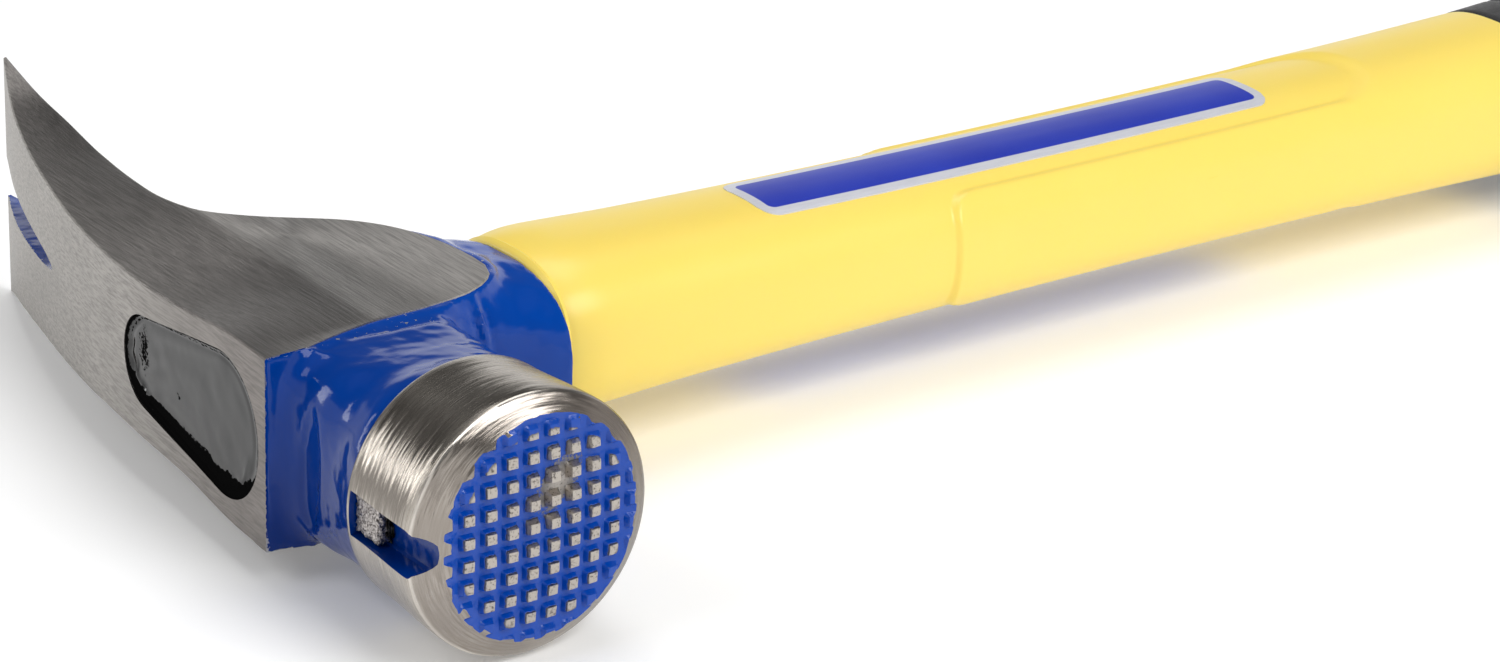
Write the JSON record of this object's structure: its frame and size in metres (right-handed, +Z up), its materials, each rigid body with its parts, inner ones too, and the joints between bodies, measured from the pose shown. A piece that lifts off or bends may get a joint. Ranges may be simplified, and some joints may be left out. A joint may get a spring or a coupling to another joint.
{
  "type": "claw hammer",
  "caption": "Straight-claw framing hammer with a milled striking face, nail-starter groove with magnet, epoxied eye, plastic-jacketed fibreglass handle and rubber grip, lying on its side.",
  "frame": {"origin": "on the flat butt end of the grip, level with the axis of the poll in Y and with the head's middle plane in Z", "axes": "-X runs along the handle towards the head, -Y is the way the striking face points, +Y the way the claw points, +Z is up from the cheek that is uppermost as the hammer lies on its side"},
  "size_m": [0.4063, 0.1434, 0.0366],
  "materials": {
    "head_steel": "ground steel with glossy blue enamel on the neck, the collar and the milled grooves",
    "black_resin": "poured, glossy",
    "bond_resin": "cured resin",
    "fibreglass": "pultruded glass and resin",
    "yellow_plastic": "moulded, satin gloss",
    "label_foil": "printed foil, blue field in a silver border, no text",
    "black_rubber": "moulded, matt",
    "magnet_alloy": "bare sintered magnet, sparkling"
  },
  "bodies": {
    "root": {"head": "head_steel", "eye_cap": "black_resin", "eye_bond": "bond_resin", "handle_core": "fibreglass", "handle_jacket": "yellow_plastic", "upper_label": "label_foil", "lower_label": "label_foil", "grip": "black_rubber", "starter_magnet": "magnet_alloy", "magnet_bond": "bond_resin"}
  },
  "joints": []
}
